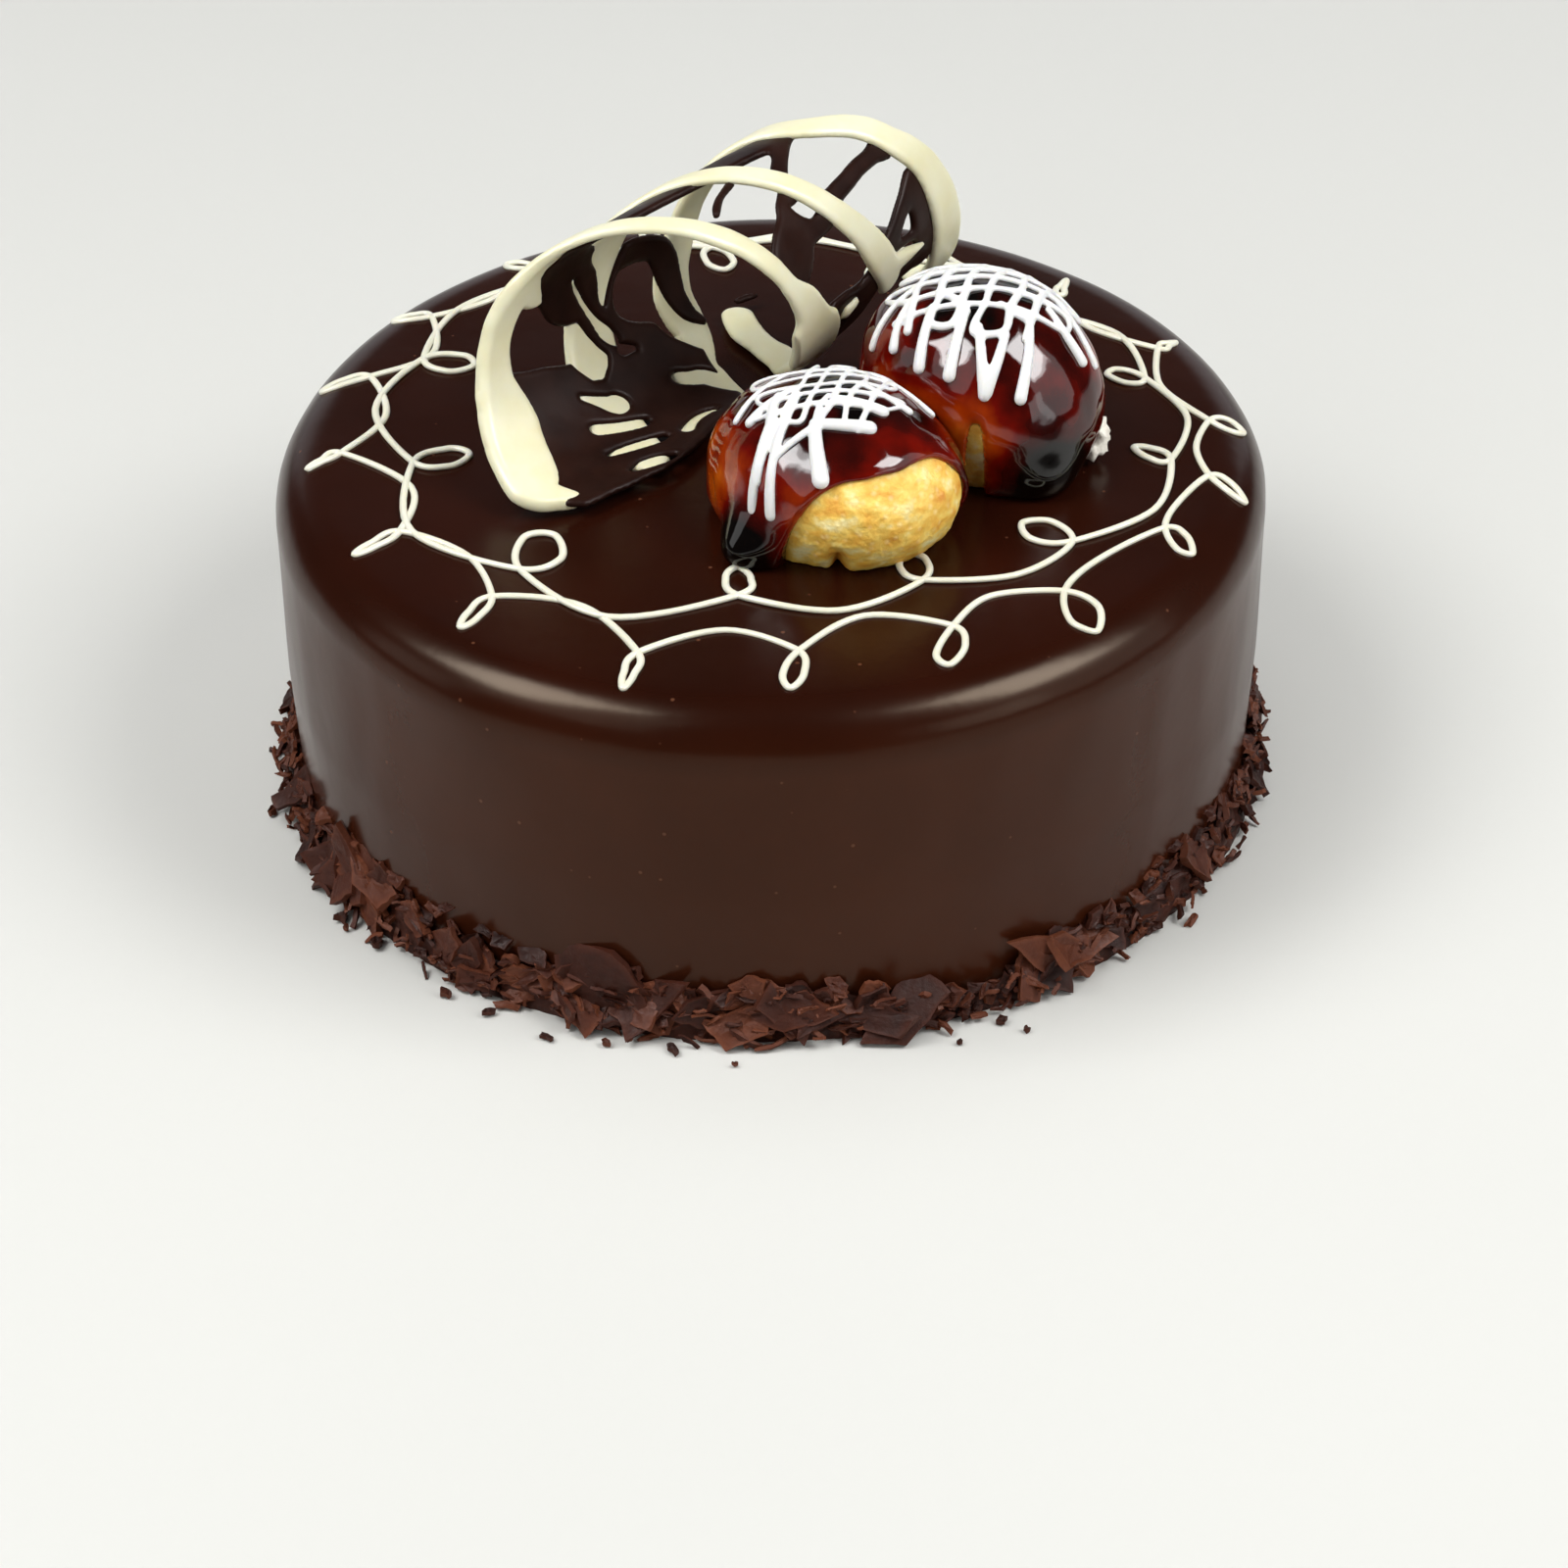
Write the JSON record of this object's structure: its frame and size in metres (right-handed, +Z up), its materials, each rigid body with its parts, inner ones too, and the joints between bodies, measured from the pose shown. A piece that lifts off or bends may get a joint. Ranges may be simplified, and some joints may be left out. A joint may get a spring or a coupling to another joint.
{
  "type": "profiterole cake",
  "caption": "Round chocolate-glazed cake with a collar of flakes, piped scroll lines, caramel-dipped choux puffs and a rolled lattice of white and dark chocolate on top.",
  "frame": {"origin": "centre of the flat base, on the cake's upright axis", "axes": "+Z up; -Y towards the side that the front puff turns its bare choux to; +X to that viewer's right"},
  "size_m": [0.1925, 0.188, 0.1114],
  "materials": {
    "ganache": "smooth satin dark chocolate glaze",
    "choux": "baked golden choux pastry with a fine rough skin",
    "caramel": "clear hard glossy red-brown caramel, nearly black where it pools",
    "white_chocolate": "smooth ivory white chocolate with a soft sheen",
    "dark_chocolate": "dark chocolate, smooth on the lattice and dull on the broken flakes",
    "icing": "smooth white icing with rounded beads"
  },
  "bodies": {
    "root": {"cake": "ganache", "choux_front": "choux", "choux_back": "choux", "caramel_front": "caramel", "caramel_back": "caramel", "lattice_curl": "white_chocolate"}
  },
  "joints": []
}
